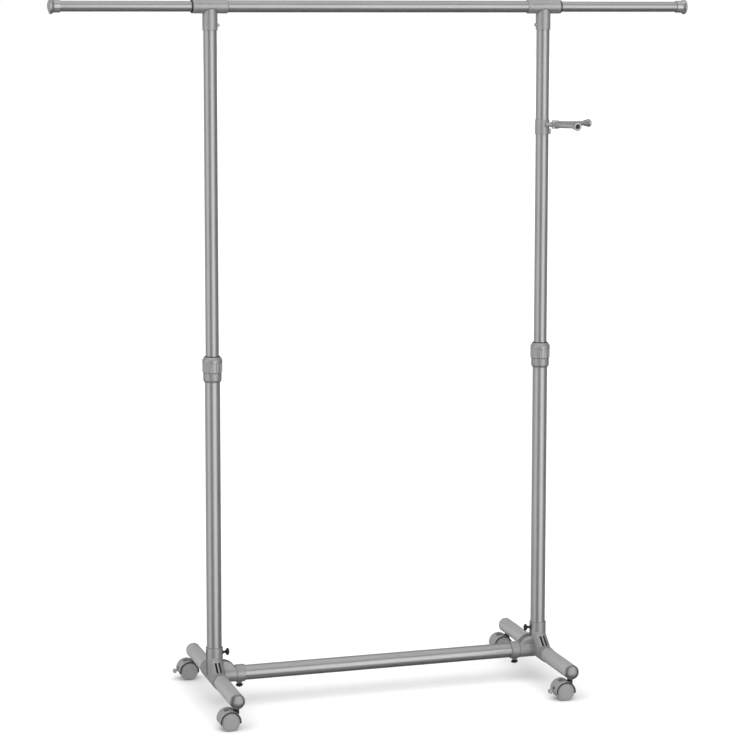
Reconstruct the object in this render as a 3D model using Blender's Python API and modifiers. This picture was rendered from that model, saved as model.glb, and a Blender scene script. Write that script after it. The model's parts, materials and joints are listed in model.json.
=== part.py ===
"""Garment rail on casters: telescopic posts, an extending hanging rail and a four-footed base.

Metres, +Z up. The origin is on the floor, under the middle of the rail; X runs along the rail
and -Y is the front.
"""
import math

import bmesh
import bpy
from mathutils import Matrix, Vector

# ---- Driving dimensions ----
RAIL_Z = 1.484              # axis of the hanging rail above the floor
POST_X = 0.370              # axis of each post from the middle
FOOT_Z = 0.060              # axis of the foot tubes and the base bar above the floor
FOOT_END = 0.2045           # open end of each foot tube from the posts' plane
RAIL_TIP = 0.708            # tip of each rail end cap from the middle
LOCK_Z = 0.716              # seam between the twist-lock nut and its collar

WELD = 0.000005             # points closer than this are one point
GAP = 0.0003                # clearance between pieces that rest on each other
WALL = 0.0015               # wall of the lower tubes
UPPER_WALL = 0.0013
RAIL_WALL = 0.0012
EDGE = 0.0008               # chamfer on moulded edges
PAST = 0.010                # how far a cutter runs past the face it opens
BIG = 0.100                 # size of a cutter that takes a whole side away

LOWER_R = 0.016             # lower posts, feet and base bar
UPPER_R = 0.014             # upper posts
RAIL_R = 0.0125             # middle of the hanging rail
EXTENSION_R = 0.011         # ends of the hanging rail

# Corner fitting
SOCKET_R = 0.01825          # upright socket
SOCKET_TOP = 0.1215
BRANCH_R = 0.0176           # foot and base-bar sockets
FOOT_SOCKET = 0.062         # mouth of the foot sockets from the post's axis
BAR_SOCKET = 0.0655         # mouth of the base-bar socket from the post's axis
BAR_RIM = 0.0185            # thicker lip at that mouth
BAR_RIM_R = 0.0186
BORE_R = LOWER_R + GAP
POST_SEAT = 0.0800          # bottom of the upright bore
BRANCH_SEAT = 0.0220        # inner end of the foot and base-bar bores from the post's axis
FAIRING_R = 0.0170          # sloping fairing from the upright socket to a foot socket
FAIRING_SLOPE = math.radians(39.5)
FAIRING_TOP = (0.028, 0.093)    # a point of its ridge, (distance from the post, height)
SLOT_X = 0.0038             # each fairing has two slots, this far from its middle
SLOT_SIZE = (0.0043, 0.0278, 0.006)
DOME_R = 0.0290             # rounded fairing from the upright socket to the base-bar socket
DOME_CENTRE = (0.0185, 0.0620)
DOME_WIDTH = 0.024
DOME_EDGE = 0.0030
FAIRING_RUN = (-0.020, 0.030)   # ends of the fairing along its slope, from FAIRING_TOP
SLOT_MIDDLE = (0.010, 0.0082)    # middle of the slots, out from and below FAIRING_TOP
POST_BOSS = ((0.0042, 0.0198), (0.0052, 0.0170))    # (radius, distance from the post's axis)
BAR_BOSS = ((0.0052, 0.0218), (0.0082, 0.0165))     # (radius, distance from the bar's axis)
STUD_R = 0.0036             # moulded stud under each foot socket
STUD_Y = 0.0530
STUD_PROUD = 0.0014

# Clamp knobs
SCREW_R = 0.0024
SCREW_BITE = 0.0020         # length of screw held in the head
KNOB_EDGE = 0.0009
POST_KNOB_Z = 0.1090
POST_KNOB_HEAD = (0.0258, 0.0326)       # faces of the head from the post's axis
BAR_KNOB_X = 0.0545                     # lower knob from the post's axis
BAR_KNOB_HEAD = (0.0244, 0.0300)        # faces of the head below the base bar's axis
KNOB_R = 0.0066
KNOB_LOBE = 0.0014
KNOB_LOBES = 4

# Twist locks
LOWER_TOP = LOCK_Z + 0.0170
NUT_R = 0.02125
NUT_HEIGHT = 0.0352
NUT_FLUTES = 12
FLUTE_R = 0.0032
FLUTE_DEPTH = 0.0013
FLUTE_TOP = (0.0205, 0.0232)    # shoulder and point of each flute above the seam
COLLAR_R = 0.0195
COLLAR_HEIGHT = 0.0203
COLLAR_TAPER = 0.0042

# Upper frame
TEE_HALF = 0.038            # half length of the fitting's horizontal sleeve
TEE_R = 0.01475
TEE_SOCKET_R = 0.0158
TEE_SOCKET_DROP = 0.0496    # mouth of the fitting's socket below the rail's axis
UPPER_SEAT = 0.0180         # top of the upper posts below the rail's axis
UPPER_FOOT = 0.400          # lower end of the upper posts
ARCH_DROP = 0.0215          # centre of the socket's arched front below the rail's axis
ARCH_R = TEE_SOCKET_R + 0.0001
BUSH_FLANGE = 0.0015
BUSH_LENGTH = 0.0075
EXTENSION_INNER = 0.290     # inner end of each extending rail
BUTTON_DROP = 0.0387        # snap buttons below the rail's axis
BUTTON_R = 0.0031
BUTTON_PROUD = 0.0046
BUTTON_BACK = 0.0090        # inner face of each button from the post's axis
CAP_SHOULDER = 0.0100       # end of the extending rail inside its cap, from the cap's tip
CAP_MOUTH = 0.0256          # mouth of the cap from its tip

# Accessory hook on the right upper post
HOOK_Z = 1.224
HOOK_HEIGHT = 0.032
HOOK_R = 0.0155
PEG_Z = 1.2295
PEG_HUB = (0.024, -0.0175)  # hub from the post's axis
PEG_HUB_R = 0.0080
PEG_HUB_HEIGHT = 0.0180
PEG_MIDDLE = math.radians(-29.7)        # direction halfway between the two pegs
PEG_SPREAD = math.radians(55.4)         # each peg from that direction
PEG_LENGTH = 0.109
PEG_ROOT_R = 0.0076
PEG_R = 0.0050
PEG_TAPER_END = 0.076
PEG_SHOULDER = PEG_LENGTH - 0.0030      # end of each peg inside its cap
PEG_CAP_MOUTH = PEG_LENGTH - 0.0150
BARREL_R = 0.0052
LUG_R = 0.0030              # rounded lug below the barrel
LUG_PLACE = (0.0152, -0.0052)   # from the post's axis
LUG_HEIGHTS = (1.2083, 1.2203)

# Casters
CASTER_Y = 0.195            # stem from the posts' plane
WHEEL_R = 0.020
WHEEL_TRAIL = 0.0155        # wheel axis behind the stem, towards -X
WHEEL_INNER = 0.0050        # inner face of each wheel from the caster's middle
WHEEL_WIDTH = 0.0140
AXLE_R = 0.0026
AXLE_HALF = 0.0155
TREAD_EDGE = 0.0012
STEM_R = 0.0032
STEM_COLLAR_R = 0.0056
STEM_TOP = 0.0560
STEM_FOOT = 0.0215
BOSS_R = 0.0062             # hood's boss round the stem
BOSS_HEIGHTS = (0.0320, 0.0402)
HOOD_R = 0.0220
HOOD_WALL = 0.0011
HOOD_HALF = 0.0198
HOOD_SKIRT = 0.0040         # lower edge of the hood below the wheel's axis
WEB_HALF = 0.0046           # half width of the web between the wheels
BRAKE_X = -0.0140           # lever's pivot from the wheel's axis
BRAKE_HUB_R = 0.0032
BRAKE_TIP = -0.0325
ARM_HEIGHT = 0.0034
PAD_SIZE = (0.0060, 0.0110, 0.0072)
PAD_DROP = 0.0012
NOTCH_SIZE = (0.0120, 0.0108, 0.0165)   # opening in the back of the hood for the lever
NOTCH_X = -0.0222
BRAKED = ("rear_left", "front_right")

SEGMENTS = 20
ROUND_SEGMENTS = 16         # knobs, buttons and pegs
NUT_SEGMENTS = 24           # nuts and the corners' domes
WHEEL_SEGMENTS = 20
SMALL_SEGMENTS = 12
FLUTE_SEGMENTS = 8
SIDES = {"left": -1, "right": 1}
ENDS = {"front": -1, "rear": 1}
X_AXIS = Vector((1, 0, 0))
Y_AXIS = Vector((0, 1, 0))
Z_AXIS = Vector((0, 0, 1))

FINISHES = {
    "satin_steel": ((0.46, 0.46, 0.46), 0.32, 1.0),
    "grey_tube": ((0.42, 0.42, 0.43), 0.45, 0.6),
    "grey_plastic": ((0.36, 0.36, 0.36), 0.42, 0.0),
    "wheel_grey": ((0.30, 0.30, 0.30), 0.55, 0.0),
    "black_plastic": ((0.015, 0.015, 0.015), 0.45, 0.0),
    "bright_steel": ((0.62, 0.62, 0.62), 0.25, 1.0),
}


# ---- Scene and object helpers ----
for old in list(bpy.data.objects):
    bpy.data.objects.remove(old, do_unlink=True)

parts = bpy.data.collections.new("garment_rail")
cutters = bpy.data.collections.new("cutters")
bpy.context.scene.collection.children.link(parts)
bpy.context.scene.collection.children.link(cutters)


def make_material(name):
    colour, roughness, metallic = FINISHES[name]
    material = bpy.data.materials.new(name)
    material.use_nodes = True
    shader = material.node_tree.nodes["Principled BSDF"]
    shader.inputs["Base Color"].default_value = (*colour, 1.0)
    shader.inputs["Roughness"].default_value = roughness
    shader.inputs["Metallic"].default_value = metallic
    return material


def add_object(name, mesh, finish, origin, direction):
    """Put a mesh in the scene with its local Z along direction. With no finish it is a tool."""
    obj = bpy.data.objects.new(name, mesh)
    turn = Z_AXIS.rotation_difference(Vector(direction)).to_matrix().to_4x4()
    obj.matrix_world = Matrix.Translation(origin) @ turn
    if finish:
        parts.objects.link(obj)
        mesh.materials.append(make_material(finish))
        obj.data.materials[0].name = name + "_" + finish
    else:
        cutters.objects.link(obj)
        obj.hide_render = True
        obj.display_type = "WIRE"
    return obj


def turned(name, profile, finish=None, origin=(0, 0, 0), direction=Z_AXIS, segments=SEGMENTS):
    """Turn (radius, height) points about local Z. The outer side runs from the top down; a
    profile that starts off the axis is a ring and closes on itself."""
    edges = [(i, i + 1) for i in range(len(profile) - 1)]
    if profile[0][0] > 0:
        edges.append((len(profile) - 1, 0))
    mesh = bpy.data.meshes.new(name)
    mesh.from_pydata([(r, 0.0, z) for r, z in profile], edges, [])
    obj = add_object(name, mesh, finish, origin, direction)
    screw = obj.modifiers.new("turn", "SCREW")
    screw.axis = "Z"
    screw.steps = segments
    screw.render_steps = segments
    screw.use_merge_vertices = True
    screw.merge_threshold = 0.000001
    return obj


def rod(name, radius, low, high, finish=None, origin=(0, 0, 0), direction=Z_AXIS,
        segments=SEGMENTS):
    profile = [(0.0, high), (radius, high), (radius, low), (0.0, low)]
    return turned(name, profile, finish, origin, direction, segments)


def tube(name, radius, low, high, finish, origin=(0, 0, 0), direction=Z_AXIS, wall=WALL):
    inner = radius - wall
    profile = [(radius, high), (radius, low), (inner, low), (inner, high)]
    return turned(name, profile, finish, origin, direction)


def box(name, size, origin, direction=Z_AXIS, finish=None):
    mesh = bpy.data.meshes.new(name)
    shape = bmesh.new()
    bmesh.ops.create_cube(shape, size=1.0)
    bmesh.ops.scale(shape, vec=size, verts=shape.verts)
    shape.to_mesh(mesh)
    shape.free()
    return add_object(name, mesh, finish, origin, direction)


def boolean(obj, other, operation):
    step = obj.modifiers.new(operation.lower(), "BOOLEAN")
    step.operation = operation
    step.solver = "EXACT"
    step.object = other


def join(obj, *others):
    for other in others:
        boolean(obj, other, "UNION")


def cut(obj, *others):
    for other in others:
        boolean(obj, other, "DIFFERENCE")


def trim(obj, other):
    boolean(obj, other, "INTERSECT")


def round_edges(obj, width, angle=math.radians(40), segments=1):
    bevel = obj.modifiers.new("round", "BEVEL")
    bevel.width = width
    bevel.segments = segments
    bevel.limit_method = "ANGLE"
    bevel.angle_limit = angle


# ---- Base ----
def below(name, centre, height):
    """Cutter that takes away everything under a height."""
    return box(name, (2 * BIG, 2 * BIG, BIG), Vector((centre.x, centre.y, height - BIG / 2)))


def foot_slope(end):
    """Direction of one fairing down its slope, and the direction square to its ridge."""
    along = Vector((0, end * math.cos(FAIRING_SLOPE), -math.sin(FAIRING_SLOPE)))
    normal = Vector((0, end * math.sin(FAIRING_SLOPE), math.cos(FAIRING_SLOPE)))
    return along, normal


def ridge_slots(name, x, end):
    """The two slots down the ridge of one foot fairing, as cutters."""
    middle = Vector((x, end * (FAIRING_TOP[0] + SLOT_MIDDLE[0]), FAIRING_TOP[1] - SLOT_MIDDLE[1]))
    normal = foot_slope(end)[1]
    return [box(f"{name}_slot_{end}_{step}", SLOT_SIZE, middle + step * SLOT_X * X_AXIS, normal)
            for step in (-1, 1)]


def foot_fairing(name, x, end):
    """Sloping round fairing between the upright socket and one foot socket."""
    along, normal = foot_slope(end)
    ridge = Vector((x, end * FAIRING_TOP[0], FAIRING_TOP[1]))
    return rod(f"{name}_fairing_{end}", FAIRING_R, *FAIRING_RUN, None,
               ridge - FAIRING_R * normal, along)


def boss(name, outline, origin, direction):
    """Short taper that a clamp knob's screw passes through."""
    (tip_r, tip), (root_r, root) = outline
    return turned(name, [(0, tip), (tip_r, tip), (root_r, root), (0, root)], None, origin,
                  direction)


def corner_fitting(label, side):
    name = f"corner_{label}"
    x = side * POST_X
    axis = Vector((x, 0, FOOT_Z))
    inward = -side * X_AXIS
    reach = SOCKET_TOP - FOOT_Z

    fitting = turned(name, [(0, reach), (SOCKET_R - EDGE, reach), (SOCKET_R, reach - EDGE),
                            (SOCKET_R, 0), (0, 0)], "grey_plastic", axis)
    feet = rod(name + "_feet", BRANCH_R, -FOOT_SOCKET, FOOT_SOCKET, None, axis, Y_AXIS)
    rim_start = BAR_SOCKET - BAR_RIM
    branch = turned(name + "_branch", [(0, BAR_SOCKET), (BAR_RIM_R, BAR_SOCKET),
                                       (BAR_RIM_R, rim_start), (BRANCH_R, rim_start - EDGE),
                                       (BRANCH_R, 0), (0, 0)], None, axis, inward)
    dome_centre = Vector((x, 0, DOME_CENTRE[1])) + DOME_CENTRE[0] * inward
    dome = rod(name + "_dome", DOME_R, -DOME_WIDTH / 2, DOME_WIDTH / 2, None, dome_centre, Y_AXIS,
               NUT_SEGMENTS)
    round_edges(dome, DOME_EDGE)
    cut(dome, below(name + "_below_dome", axis, FOOT_Z))

    post_knob = Vector((x, 0, POST_KNOB_Z))
    bar_knob = axis + BAR_KNOB_X * inward
    join(fitting, feet, branch, dome, boss(name + "_post_boss", POST_BOSS, post_knob, inward),
         boss(name + "_bar_boss", BAR_BOSS, bar_knob, -Z_AXIS))
    for end in ENDS.values():
        stud = rod(f"{name}_stud_{end}", STUD_R, LOWER_R, BRANCH_R + STUD_PROUD, None,
                   axis + end * STUD_Y * Y_AXIS, -Z_AXIS, SMALL_SEGMENTS)
        join(fitting, foot_fairing(name, x, end), stud)

    screw_hole = (SCREW_R + GAP, PAST, 3 * PAST, None)
    cut(fitting,
        rod(name + "_post_bore", BORE_R, POST_SEAT, SOCKET_TOP + PAST, None, (x, 0, 0)),
        rod(name + "_bar_bore", BORE_R, BRANCH_SEAT, BAR_SOCKET + PAST, None, axis, inward),
        rod(name + "_post_screw", *screw_hole, post_knob, inward, SMALL_SEGMENTS),
        rod(name + "_bar_screw", *screw_hole, bar_knob, -Z_AXIS, SMALL_SEGMENTS))
    for end in ENDS.values():
        cut(fitting, rod(f"{name}_foot_bore_{end}", BORE_R, BRANCH_SEAT, FOOT_SOCKET + PAST, None,
                         axis, end * Y_AXIS))
        cut(fitting, *ridge_slots(name, x, end))


def star_knob(name, head, origin, direction, stem_from):
    """Clamp knob: a lobed head on a screw, with its local Z pointing out of the fitting."""
    low, high = head
    shape = bmesh.new()
    bmesh.ops.create_cone(shape, cap_ends=True, segments=ROUND_SEGMENTS, radius1=KNOB_R,
                          radius2=KNOB_R, depth=high - low)
    for vert in shape.verts:
        angle = math.atan2(vert.co.y, vert.co.x)
        grow = 1 + KNOB_LOBE / KNOB_R * math.cos(KNOB_LOBES * angle)
        vert.co.x *= grow
        vert.co.y *= grow
        vert.co.z += (low + high) / 2
    mesh = bpy.data.meshes.new(name)
    shape.to_mesh(mesh)
    shape.free()
    knob = add_object(name, mesh, "black_plastic", origin, direction)
    round_edges(knob, KNOB_EDGE)
    join(knob, rod(name + "_screw", SCREW_R, stem_from, low + SCREW_BITE, None, origin, direction,
                   SMALL_SEGMENTS))


def foot(label, end_label):
    side, end = SIDES[label], ENDS[end_label]
    place = f"{end_label}_{label}"
    axis = Vector((side * POST_X, 0, FOOT_Z))
    out = end * Y_AXIS
    leg = tube(f"foot_tube_{place}", LOWER_R, BRANCH_SEAT + GAP, FOOT_END, "grey_tube", axis, out)
    cut(leg, rod(f"stem_hole_{place}", STEM_R + GAP, -3 * PAST, 0, None, axis + CASTER_Y * out,
                 Z_AXIS, SMALL_SEGMENTS))
    plug = LOWER_R - WALL - GAP
    cap = turned(f"foot_cap_{place}", [
        (0, FOOT_END + 0.0070), (0.0095, FOOT_END + 0.0058), (0.0140, FOOT_END + 0.0036),
        (LOWER_R, FOOT_END + 0.0016), (LOWER_R, FOOT_END + GAP),
        (plug, FOOT_END + GAP), (plug, FOOT_END - 0.0030), (0, FOOT_END - 0.0030)],
        "grey_plastic", axis, out)
    return leg, cap


def base():
    for label, side in SIDES.items():
        corner_fitting(label, side)
        post = Vector((side * POST_X, 0, 0))
        inward = -side * X_AXIS
        star_knob(f"post_knob_{label}", POST_KNOB_HEAD, post + POST_KNOB_Z * Z_AXIS, inward,
                  LOWER_R + GAP)
        star_knob(f"bar_knob_{label}", BAR_KNOB_HEAD,
                  post + BAR_KNOB_X * inward + FOOT_Z * Z_AXIS, -Z_AXIS, LOWER_R + GAP)
        tube(f"lower_post_{label}", LOWER_R, POST_SEAT + GAP, LOWER_TOP, "satin_steel", post)
        for end_label in ENDS:
            foot(label, end_label)
    half = POST_X - BRANCH_SEAT - GAP
    tube("base_bar", LOWER_R, -half, half, "satin_steel", (0, 0, FOOT_Z), X_AXIS)


# ---- Twist locks ----
def lock_collar(label, side):
    bore = LOWER_R + GAP
    turned(f"lock_collar_{label}", [
        (COLLAR_R, -GAP), (COLLAR_R, COLLAR_TAPER - COLLAR_HEIGHT), (bore + EDGE, -COLLAR_HEIGHT),
        (bore, -COLLAR_HEIGHT), (bore, -GAP)], "grey_plastic", (side * POST_X, 0, LOCK_Z))


def lock_nut(label, side):
    """Fluted clamp nut: it turns about the post over the end of the lower tube."""
    name = f"lock_nut_{label}"
    grip, throat, ledge = UPPER_R + GAP, LOWER_R + GAP, LOWER_TOP - LOCK_Z + 0.0010
    nut = turned(name, [
        (UPPER_R + 0.0010, NUT_HEIGHT), (0.0166, NUT_HEIGHT - 0.0008), (0.0188, NUT_HEIGHT - 0.0036),
        (NUT_R, NUT_HEIGHT - 0.0084), (NUT_R, 0.0012), (NUT_R - 0.0010, 0.0), (throat, 0.0),
        (throat, ledge), (grip, ledge), (grip, NUT_HEIGHT)],
        "grey_plastic", (side * POST_X, 0, LOCK_Z), Z_AXIS, NUT_SEGMENTS)
    shoulder, point = FLUTE_TOP
    for index in range(NUT_FLUTES):
        angle = 2 * math.pi * (index + 0.5) / NUT_FLUTES
        out = Vector((math.cos(angle), math.sin(angle), 0))
        centre = Vector((side * POST_X, 0, LOCK_Z)) + (NUT_R - FLUTE_DEPTH + FLUTE_R) * out
        cut(nut, turned(f"{name}_flute_{index}", [
            (0, point), (FLUTE_R, shoulder), (FLUTE_R, -PAST), (0, -PAST)],
            None, centre, Z_AXIS, FLUTE_SEGMENTS))


# ---- Upper frame ----
def tee(label, side):
    """Fitting that joins an upper post to the hanging rail."""
    name = f"tee_{label}"
    centre = Vector((side * POST_X, 0, RAIL_Z))
    inward = -side * X_AXIS
    fitting = turned(name, [
        (0, TEE_HALF), (TEE_R - EDGE, TEE_HALF), (TEE_R, TEE_HALF - EDGE),
        (TEE_R, EDGE - TEE_HALF), (TEE_R - EDGE, -TEE_HALF), (0, -TEE_HALF)],
        "grey_plastic", centre, X_AXIS)
    socket = turned(name + "_socket", [
        (0, PAST), (TEE_SOCKET_R, PAST), (TEE_SOCKET_R, EDGE - TEE_SOCKET_DROP),
        (TEE_SOCKET_R - EDGE, -TEE_SOCKET_DROP), (0, -TEE_SOCKET_DROP)], None, centre)
    arch_centre = centre - ARCH_DROP * Z_AXIS
    arch = rod(name + "_arch", ARCH_R, -BIG / 2, BIG / 2, None, arch_centre, Y_AXIS)
    legs = box(name + "_under_arch", (2.08 * ARCH_R, BIG, BIG), arch_centre - BIG / 2 * Z_AXIS)
    join(arch, legs)
    trim(socket, arch)
    join(fitting, socket)
    button = centre - BUTTON_DROP * Z_AXIS
    cut(fitting,
        rod(name + "_rail_bore", RAIL_R + GAP, -BIG / 2, BIG / 2, None, centre, X_AXIS),
        rod(name + "_post_bore", UPPER_R + GAP, -BIG, GAP - UPPER_SEAT, None, centre),
        rod(name + "_button_hole", BUTTON_R + GAP, UPPER_R - PAST, UPPER_R + PAST, None, button,
            inward, SMALL_SEGMENTS))


def snap_button(label, side):
    """Sprung button that locks a tee to its post."""
    centre = Vector((side * POST_X, 0, RAIL_Z - BUTTON_DROP))
    tip = TEE_SOCKET_R + BUTTON_PROUD
    turned(f"snap_button_{label}", [
        (0, tip), (0.0018, tip - 0.0004), (BUTTON_R, tip - 0.0016), (BUTTON_R, BUTTON_BACK),
        (0, BUTTON_BACK)], "bright_steel", centre, -side * X_AXIS, ROUND_SEGMENTS)


def upper_post(label, side):
    post = tube(f"upper_post_{label}", UPPER_R, UPPER_FOOT, RAIL_Z - UPPER_SEAT, "satin_steel",
                (side * POST_X, 0, 0), wall=UPPER_WALL)
    button = (side * POST_X, 0, RAIL_Z - BUTTON_DROP)
    cut(post, rod(f"post_button_hole_{label}", BUTTON_R + GAP, UPPER_R - PAST, UPPER_R + PAST,
                  None, button, -side * X_AXIS, SMALL_SEGMENTS))


def rail_bush(label, side):
    """Black guide ring between a tee's outer mouth and the extending rail."""
    mouth = POST_X + TEE_HALF
    bore = EXTENSION_R + GAP
    turned(f"rail_bush_{label}", [
        (TEE_R - 0.0006, mouth + GAP + BUSH_FLANGE), (TEE_R - 0.0006, mouth + GAP),
        (RAIL_R - GAP, mouth + GAP), (RAIL_R - GAP, mouth - BUSH_LENGTH),
        (bore, mouth - BUSH_LENGTH), (bore, mouth + GAP + BUSH_FLANGE)],
        "black_plastic", (0, 0, RAIL_Z), side * X_AXIS)


def rail_extension(label, side):
    out = side * X_AXIS
    shoulder, mouth = RAIL_TIP - CAP_SHOULDER, RAIL_TIP - CAP_MOUTH
    tube(f"rail_extension_{label}", EXTENSION_R, EXTENSION_INNER, shoulder - GAP,
         "satin_steel", (0, 0, RAIL_Z), out, RAIL_WALL)
    bore = EXTENSION_R + GAP
    turned(f"rail_cap_{label}", [
        (0, RAIL_TIP), (0.0110, RAIL_TIP - 0.0017), (0.0164, RAIL_TIP - 0.0048),
        (0.0164, RAIL_TIP - 0.0068),
        (0.0146, RAIL_TIP - 0.0092), (0.0130, RAIL_TIP - 0.0122), (0.0128, mouth),
        (bore, mouth), (bore, shoulder), (0, shoulder)],
        "grey_plastic", (0, 0, RAIL_Z), out)


def upper_frame():
    for label, side in SIDES.items():
        upper_post(label, side)
        tee(label, side)
        snap_button(label, side)
        rail_bush(label, side)
        rail_extension(label, side)
    half = POST_X + TEE_HALF - BUSH_LENGTH - 2 * GAP
    tube("centre_rail", RAIL_R, -half, half, "satin_steel", (0, 0, RAIL_Z), X_AXIS, RAIL_WALL)


# ---- Accessory hook ----
def hook():
    post = Vector((POST_X, 0, 0))
    half = HOOK_HEIGHT / 2
    clamp = turned("hook_clamp", [(HOOK_R, half), (HOOK_R, -half), (UPPER_R + GAP, -half),
                                  (UPPER_R + GAP, half)], "grey_plastic",
                   post + HOOK_Z * Z_AXIS)
    hub = post + Vector((*PEG_HUB, PEG_Z))
    barrel_end = PEG_HUB[0] - PEG_HUB_R + EDGE
    barrel = turned("hook_barrel", [(0, barrel_end), (BARREL_R, barrel_end), (BARREL_R, 0.0026),
                                    (0.0036, 0.0012), (0, 0.0010)],
                    None, (POST_X, PEG_HUB[1], PEG_Z), X_AXIS, ROUND_SEGMENTS)
    lug = rod("hook_lug", LUG_R, *LUG_HEIGHTS, None, post + Vector((*LUG_PLACE, 0)), Z_AXIS,
              SMALL_SEGMENTS)
    join(clamp, barrel, lug)
    low, high = HOOK_Z - BIG / 2, HOOK_Z + BIG / 2
    cut(clamp, rod("hook_bore", UPPER_R + GAP, low, high, None, post),
        rod("hook_hub_space", PEG_HUB_R + GAP, low, high, None, hub - PEG_Z * Z_AXIS))

    top = PEG_HUB_HEIGHT / 2
    pegs = turned("hook_pegs", [
        (0, top), (PEG_HUB_R - EDGE, top), (PEG_HUB_R, top - EDGE), (PEG_HUB_R, EDGE - top),
        (PEG_HUB_R - EDGE, -top), (0, -top)], "satin_steel", hub)
    for label, turn in (("front", -PEG_SPREAD), ("rear", PEG_SPREAD)):
        angle = PEG_MIDDLE + turn
        out = Vector((math.cos(angle), math.sin(angle), 0))
        join(pegs, turned(f"hook_peg_{label}", [
            (0, PEG_SHOULDER - GAP), (PEG_R, PEG_SHOULDER - GAP), (PEG_R, PEG_TAPER_END),
            (PEG_ROOT_R, 0.006), (0, 0.002)], None, hub, out, ROUND_SEGMENTS))
        bore = PEG_R + GAP
        turned(f"hook_cap_{label}", [
            (0, PEG_LENGTH), (0.0084, PEG_LENGTH - 0.0006), (0.0090, PEG_LENGTH - 0.0020),
            (0.0076, PEG_LENGTH - 0.0052), (0.0068, PEG_CAP_MOUTH),
            (bore, PEG_CAP_MOUTH), (bore, PEG_SHOULDER), (0, PEG_SHOULDER)],
            "grey_plastic", hub, out, ROUND_SEGMENTS)


# ---- Casters ----
def hood(place, stem, braked):
    """Swivelling body: a half shell over both wheels, a web between them and the stem's boss."""
    name = f"caster_hood_{place}"
    wheel = stem + Vector((-WHEEL_TRAIL, 0, WHEEL_R))
    inner = HOOD_R - HOOD_WALL
    shell = turned(name, [
        (0, WEB_HALF), (inner, WEB_HALF), (inner, HOOD_HALF), (HOOD_R, HOOD_HALF),
        (HOOD_R, -HOOD_HALF), (inner, -HOOD_HALF), (inner, -WEB_HALF), (0, -WEB_HALF)],
        "grey_plastic", wheel, Y_AXIS, WHEEL_SEGMENTS)
    cut(shell, below(name + "_under", wheel, WHEEL_R - HOOD_SKIRT))
    stem_boss = rod(name + "_boss", BOSS_R, *BOSS_HEIGHTS, None, stem)
    for face, out in (("front", -Y_AXIS), ("rear", Y_AXIS)):
        cut(stem_boss, rod(f"{name}_{face}_space", inner + GAP, WEB_HALF - GAP, HOOD_HALF + PAST,
                           None, wheel, out, WHEEL_SEGMENTS))
    join(shell, stem_boss)
    cut(shell,
        rod(name + "_axle_hole", AXLE_R + GAP, -PAST, PAST, None, wheel, Y_AXIS, SMALL_SEGMENTS),
        rod(name + "_stem_hole", STEM_R + GAP, STEM_FOOT - EDGE, FOOT_Z, None, stem, Z_AXIS,
            SMALL_SEGMENTS))
    if braked:
        cut(shell,
            rod(name + "_lever_seat", BRAKE_HUB_R + GAP, -PAST, PAST, None,
                wheel + BRAKE_X * X_AXIS, Y_AXIS, ROUND_SEGMENTS),
            box(name + "_lever_notch", NOTCH_SIZE, wheel + NOTCH_X * X_AXIS))


def brake_lever(place, stem):
    name = f"brake_lever_{place}"
    pivot = stem + Vector((BRAKE_X - WHEEL_TRAIL, 0, WHEEL_R))
    half = WEB_HALF - GAP
    lever = rod(name, BRAKE_HUB_R, -half, half, "grey_plastic", pivot, Y_AXIS, ROUND_SEGMENTS)
    length = BRAKE_X - BRAKE_TIP
    arm = box(name + "_arm", (length, 2 * half - WELD, ARM_HEIGHT), pivot - length / 2 * X_AXIS)
    round_edges(arm, EDGE)
    pad = box(name + "_pad", PAD_SIZE,
              pivot - (length - PAD_SIZE[0] / 2) * X_AXIS - PAD_DROP * Z_AXIS)
    round_edges(pad, EDGE)
    join(lever, arm, pad)


def wheel_disc(name, centre, out):
    """One of a caster's two wheels, turned so that a flat of its tread stands on the floor."""
    facet = 2 * math.pi / WHEEL_SEGMENTS
    corner_r = WHEEL_R / math.cos(facet / 2)
    near, far = WHEEL_INNER, WHEEL_INNER + WHEEL_WIDTH
    bore, bore_end = AXLE_R + GAP, AXLE_HALF + GAP
    disc = turned(name, [
        (0, far), (corner_r - TREAD_EDGE, far), (corner_r, far - TREAD_EDGE), (corner_r, near),
        (bore, near), (bore, bore_end), (0, bore_end)], "wheel_grey", centre, out, WHEEL_SEGMENTS)
    disc.matrix_world = disc.matrix_world @ Matrix.Rotation(facet / 2, 4, "Z")


def caster(end_label, label):
    place = f"{end_label}_{label}"
    stem = Vector((SIDES[label] * POST_X, ENDS[end_label] * CASTER_Y, 0))
    wheel = stem + Vector((-WHEEL_TRAIL, 0, WHEEL_R))
    collar_top, collar_foot = FOOT_Z - LOWER_R - GAP, BOSS_HEIGHTS[1] + GAP
    turned(f"caster_stem_{place}", [
        (0, STEM_TOP), (STEM_R, STEM_TOP), (STEM_R, collar_top), (STEM_COLLAR_R, collar_top),
        (STEM_COLLAR_R, collar_foot), (STEM_R, collar_foot), (STEM_R, STEM_FOOT), (0, STEM_FOOT)],
        "black_plastic", stem, Z_AXIS, SMALL_SEGMENTS)
    hood(place, stem, place in BRAKED)
    rod(f"caster_axle_{place}", AXLE_R, -AXLE_HALF, AXLE_HALF, "bright_steel", wheel, Y_AXIS,
        SMALL_SEGMENTS)
    wheel_disc(f"wheel_front_of_{place}", wheel, -Y_AXIS)
    wheel_disc(f"wheel_rear_of_{place}", wheel, Y_AXIS)
    if place in BRAKED:
        brake_lever(place, stem)


def weld(mesh):
    """Join the points that the cuts leave a hair apart."""
    shape = bmesh.new()
    shape.from_mesh(mesh)
    bmesh.ops.remove_doubles(shape, verts=shape.verts, dist=WELD)
    bmesh.ops.dissolve_degenerate(shape, edges=shape.edges, dist=WELD)
    shape.to_mesh(mesh)
    shape.free()


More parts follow.
